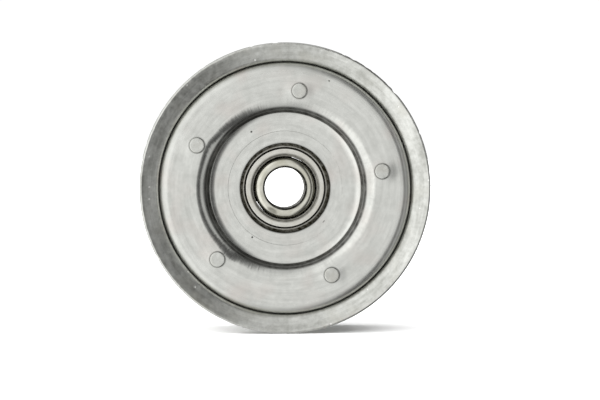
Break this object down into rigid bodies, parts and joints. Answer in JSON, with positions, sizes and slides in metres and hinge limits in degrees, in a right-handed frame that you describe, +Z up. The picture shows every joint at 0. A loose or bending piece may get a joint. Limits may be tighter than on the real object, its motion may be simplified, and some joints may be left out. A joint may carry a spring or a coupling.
{
  "type": "flanged track roller",
  "caption": "Pressed-steel roller wheel with a flared flange on each side of its tread, riveted web discs and a shielded ball bearing bored for an axle.",
  "frame": {"origin": "centre of the axle bore, on the wheel's axis and midway between its two sides", "axes": "+Y along the wheel's axis, -Y towards the outward face, +X to the right as seen from that face, +Z up"},
  "size_m": [0.085, 0.0218, 0.085],
  "materials": {
    "rim_steel": "bare rolled steel, satin with circumferential scratches",
    "web_steel": "bare pressed steel, fine concentric brushing",
    "rivet_steel": "bare steel, satin",
    "bearing_steel": "ground and polished, lightly oiled",
    "shield_steel": "thin bright pressed steel",
    "cage_steel": "bare strip steel",
    "ball_steel": "polished"
  },
  "bodies": {
    "inner_ring": {"bearing_inner_ring": "bearing_steel"},
    "wheel": {"rim_band": "rim_steel", "front_web": "web_steel", "rear_web": "web_steel", "bearing_carrier": "web_steel", "stay_rivet_1": "rivet_steel", "stay_rivet_2": "rivet_steel", "stay_rivet_3": "rivet_steel", "stay_rivet_4": "rivet_steel", "stay_rivet_5": "rivet_steel", "bearing_outer_ring": "bearing_steel", "front_shield": "shield_steel", "rear_shield": "shield_steel"},
    "cage": {"cage_front": "cage_steel", "cage_rear": "cage_steel", "cage_rivets": "cage_steel"},
    "ball_1_body": {"ball_1": "ball_steel"},
    "ball_2_body": {"ball_2": "ball_steel"},
    "ball_3_body": {"ball_3": "ball_steel"},
    "ball_4_body": {"ball_4": "ball_steel"},
    "ball_5_body": {"ball_5": "ball_steel"},
    "ball_6_body": {"ball_6": "ball_steel"},
    "ball_7_body": {"ball_7": "ball_steel"}
  },
  "joints": [
    {"name": "wheel_spin", "type": "hinge", "parent": "inner_ring", "child": "wheel", "pos_m": [0, 0, 0], "axis": [0, 1, 0], "continuous": true},
    {"name": "cage_spin", "type": "hinge", "parent": "inner_ring", "child": "cage", "pos_m": [0, 0, 0], "axis": [0, 1, 0], "continuous": true},
    {"name": "ball_1_roll", "type": "hinge", "parent": "cage", "child": "ball_1_body", "pos_m": [0, 0, 0.011], "axis": [0, 1, 0], "continuous": true},
    {"name": "ball_2_roll", "type": "hinge", "parent": "cage", "child": "ball_2_body", "pos_m": [-0.0086, 0, 0.00686], "axis": [0, 1, 0], "continuous": true},
    {"name": "ball_3_roll", "type": "hinge", "parent": "cage", "child": "ball_3_body", "pos_m": [-0.01072, 0, -0.00245], "axis": [0, 1, 0], "continuous": true},
    {"name": "ball_4_roll", "type": "hinge", "parent": "cage", "child": "ball_4_body", "pos_m": [-0.00477, 0, -0.00991], "axis": [0, 1, 0], "continuous": true},
    {"name": "ball_5_roll", "type": "hinge", "parent": "cage", "child": "ball_5_body", "pos_m": [0.00477, 0, -0.00991], "axis": [0, 1, 0], "continuous": true},
    {"name": "ball_6_roll", "type": "hinge", "parent": "cage", "child": "ball_6_body", "pos_m": [0.01072, 0, -0.00245], "axis": [0, 1, 0], "continuous": true},
    {"name": "ball_7_roll", "type": "hinge", "parent": "cage", "child": "ball_7_body", "pos_m": [0.0086, 0, 0.00686], "axis": [0, 1, 0], "continuous": true}
  ],
  "couplings": [
    {"joint": "cage_spin", "follows": "wheel_spin", "ratio": 0.6353},
    {"joint": "ball_1_roll", "follows": "wheel_spin", "ratio": 1.7125},
    {"joint": "ball_2_roll", "follows": "wheel_spin", "ratio": 1.7125},
    {"joint": "ball_3_roll", "follows": "wheel_spin", "ratio": 1.7125},
    {"joint": "ball_4_roll", "follows": "wheel_spin", "ratio": 1.7125},
    {"joint": "ball_5_roll", "follows": "wheel_spin", "ratio": 1.7125},
    {"joint": "ball_6_roll", "follows": "wheel_spin", "ratio": 1.7125},
    {"joint": "ball_7_roll", "follows": "wheel_spin", "ratio": 1.7125}
  ]
}
